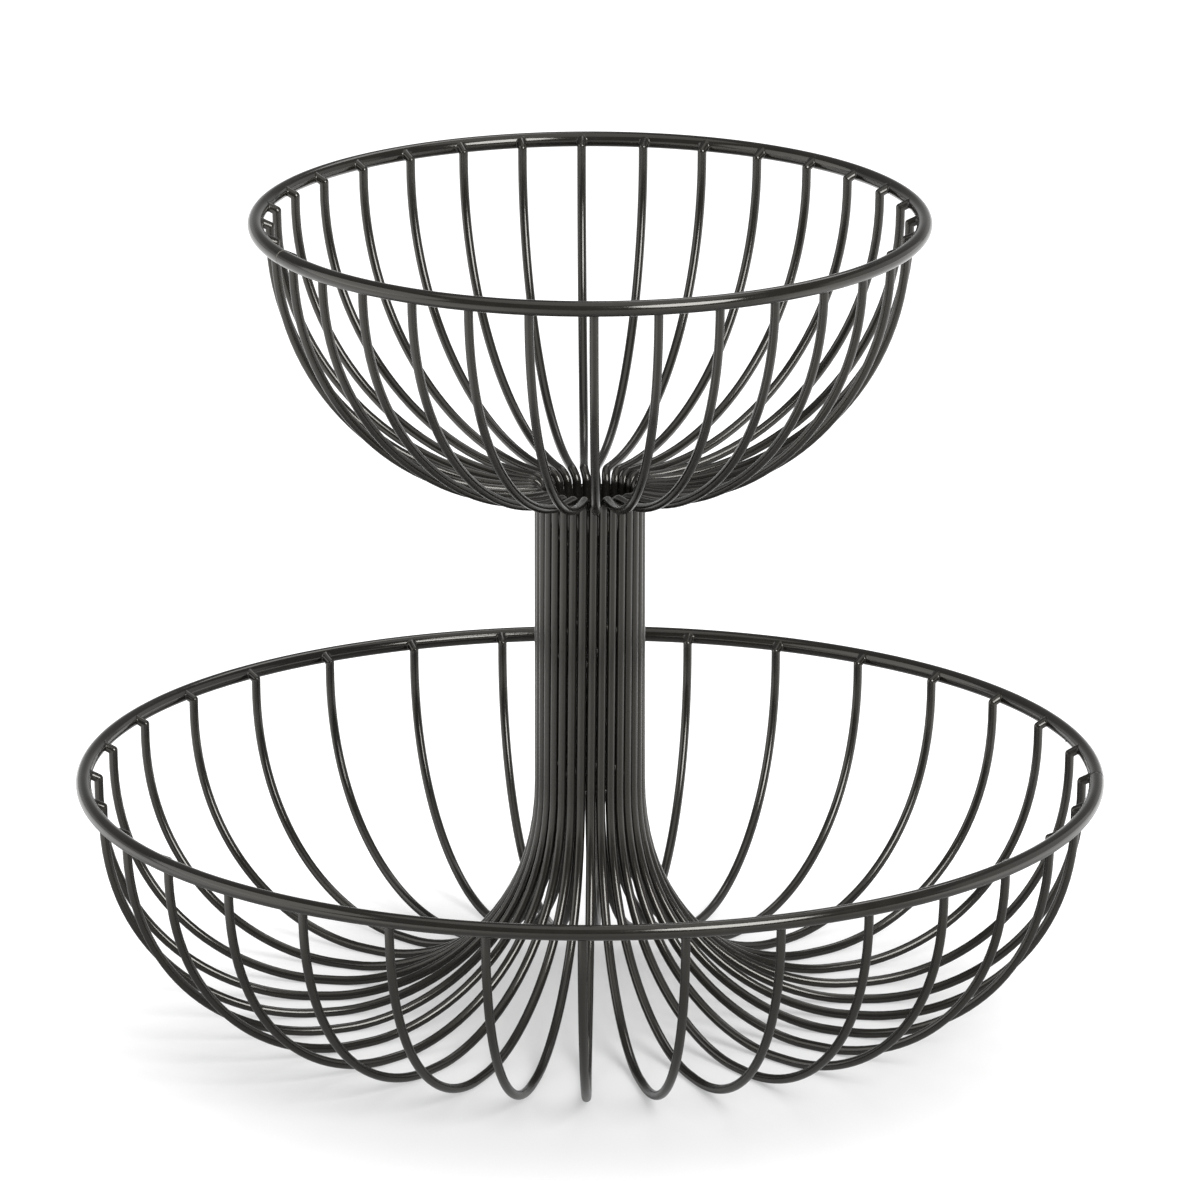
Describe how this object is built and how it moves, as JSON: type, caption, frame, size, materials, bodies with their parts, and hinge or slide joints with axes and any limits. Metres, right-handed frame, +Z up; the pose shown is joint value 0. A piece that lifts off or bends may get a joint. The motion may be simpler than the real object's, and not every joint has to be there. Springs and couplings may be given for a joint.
{
  "type": "two-tier fruit stand",
  "caption": "Open round wire bowl carried above a wider one on a stem of the same bent ribs, for holding and showing fruit on a table.",
  "frame": {"origin": "on the stand's axis, in the plane of the table that the ribs' feet rest on", "axes": "+Z up along the axis; -Y towards the front, where rib_01 stands, and the ribs are numbered towards +X; +X to the right of someone facing the front"},
  "size_m": [0.38, 0.38, 0.3025],
  "materials": {
    "rim_coat": "satin black powder coat",
    "rib_coat": "satin black powder coat"
  },
  "bodies": {
    "root": {"upper_rim": "rim_coat", "lower_rim": "rim_coat", "rib_01": "rib_coat", "rib_02": "rib_coat", "rib_03": "rib_coat", "rib_04": "rib_coat", "rib_05": "rib_coat", "rib_06": "rib_coat", "rib_07": "rib_coat", "rib_08": "rib_coat", "rib_09": "rib_coat", "rib_10": "rib_coat", "rib_11": "rib_coat", "rib_12": "rib_coat", "rib_13": "rib_coat", "rib_14": "rib_coat", "rib_15": "rib_coat", "rib_16": "rib_coat", "rib_17": "rib_coat", "rib_18": "rib_coat", "rib_19": "rib_coat", "rib_20": "rib_coat", "rib_21": "rib_coat", "rib_22": "rib_coat", "rib_23": "rib_coat", "rib_24": "rib_coat", "rib_25": "rib_coat", "rib_26": "rib_coat", "rib_27": "rib_coat", "rib_28": "rib_coat", "rib_29": "rib_coat", "rib_30": "rib_coat", "rib_31": "rib_coat", "rib_32": "rib_coat"}
  },
  "joints": []
}
